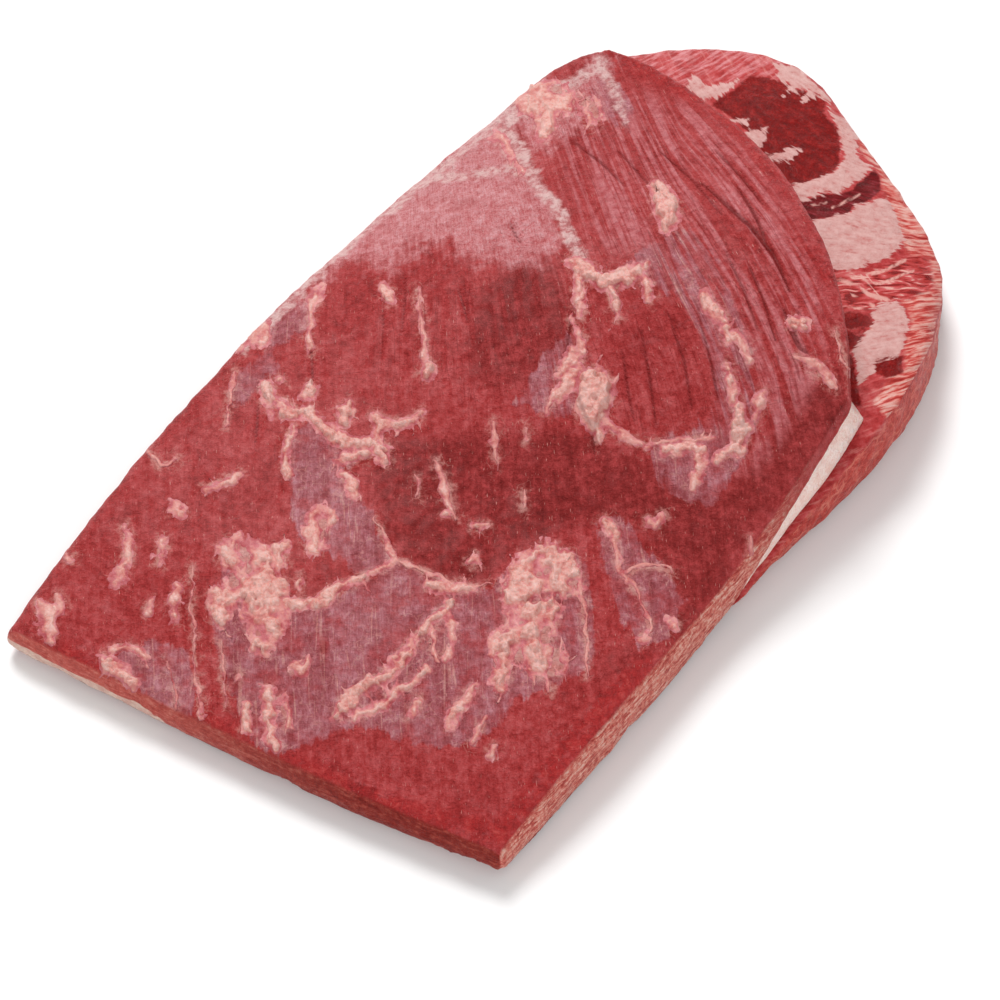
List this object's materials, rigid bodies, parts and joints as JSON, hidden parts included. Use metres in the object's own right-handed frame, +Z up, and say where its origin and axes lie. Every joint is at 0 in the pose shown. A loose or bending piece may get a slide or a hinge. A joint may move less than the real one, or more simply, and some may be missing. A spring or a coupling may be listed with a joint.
{
  "type": "raw beef brisket",
  "caption": "Whole raw beef brisket lying fat side down, the flat muscle on top of the point, with a fat seam between them and a crescent of marbled meat past its far edge.",
  "frame": {"origin": "on the surface it rests on, under the centre of the whole brisket", "axes": "+Z up from the fat cap to the flat's top, +Y from the thin cut end to the thick far end, +X towards the side where the fat seam shows"},
  "size_m": [0.303, 0.5434, 0.0762],
  "materials": {
    "lean_meat": "moist raw lean beef, deep red with a rough grain, under patches of lilac-pink membrane and cream fat",
    "marbled_meat": "moist raw beef, dark red with bands and streaks of pale fat",
    "seam_fat": "firm cream-white fat with a soft satin sheen",
    "fat_cap": "cream fat with faint pink streaks and a soft satin sheen"
  },
  "bodies": {
    "root": {"flat_muscle": "lean_meat", "point_muscle": "marbled_meat", "seam_fat": "seam_fat", "fat_cap": "fat_cap"}
  },
  "joints": []
}
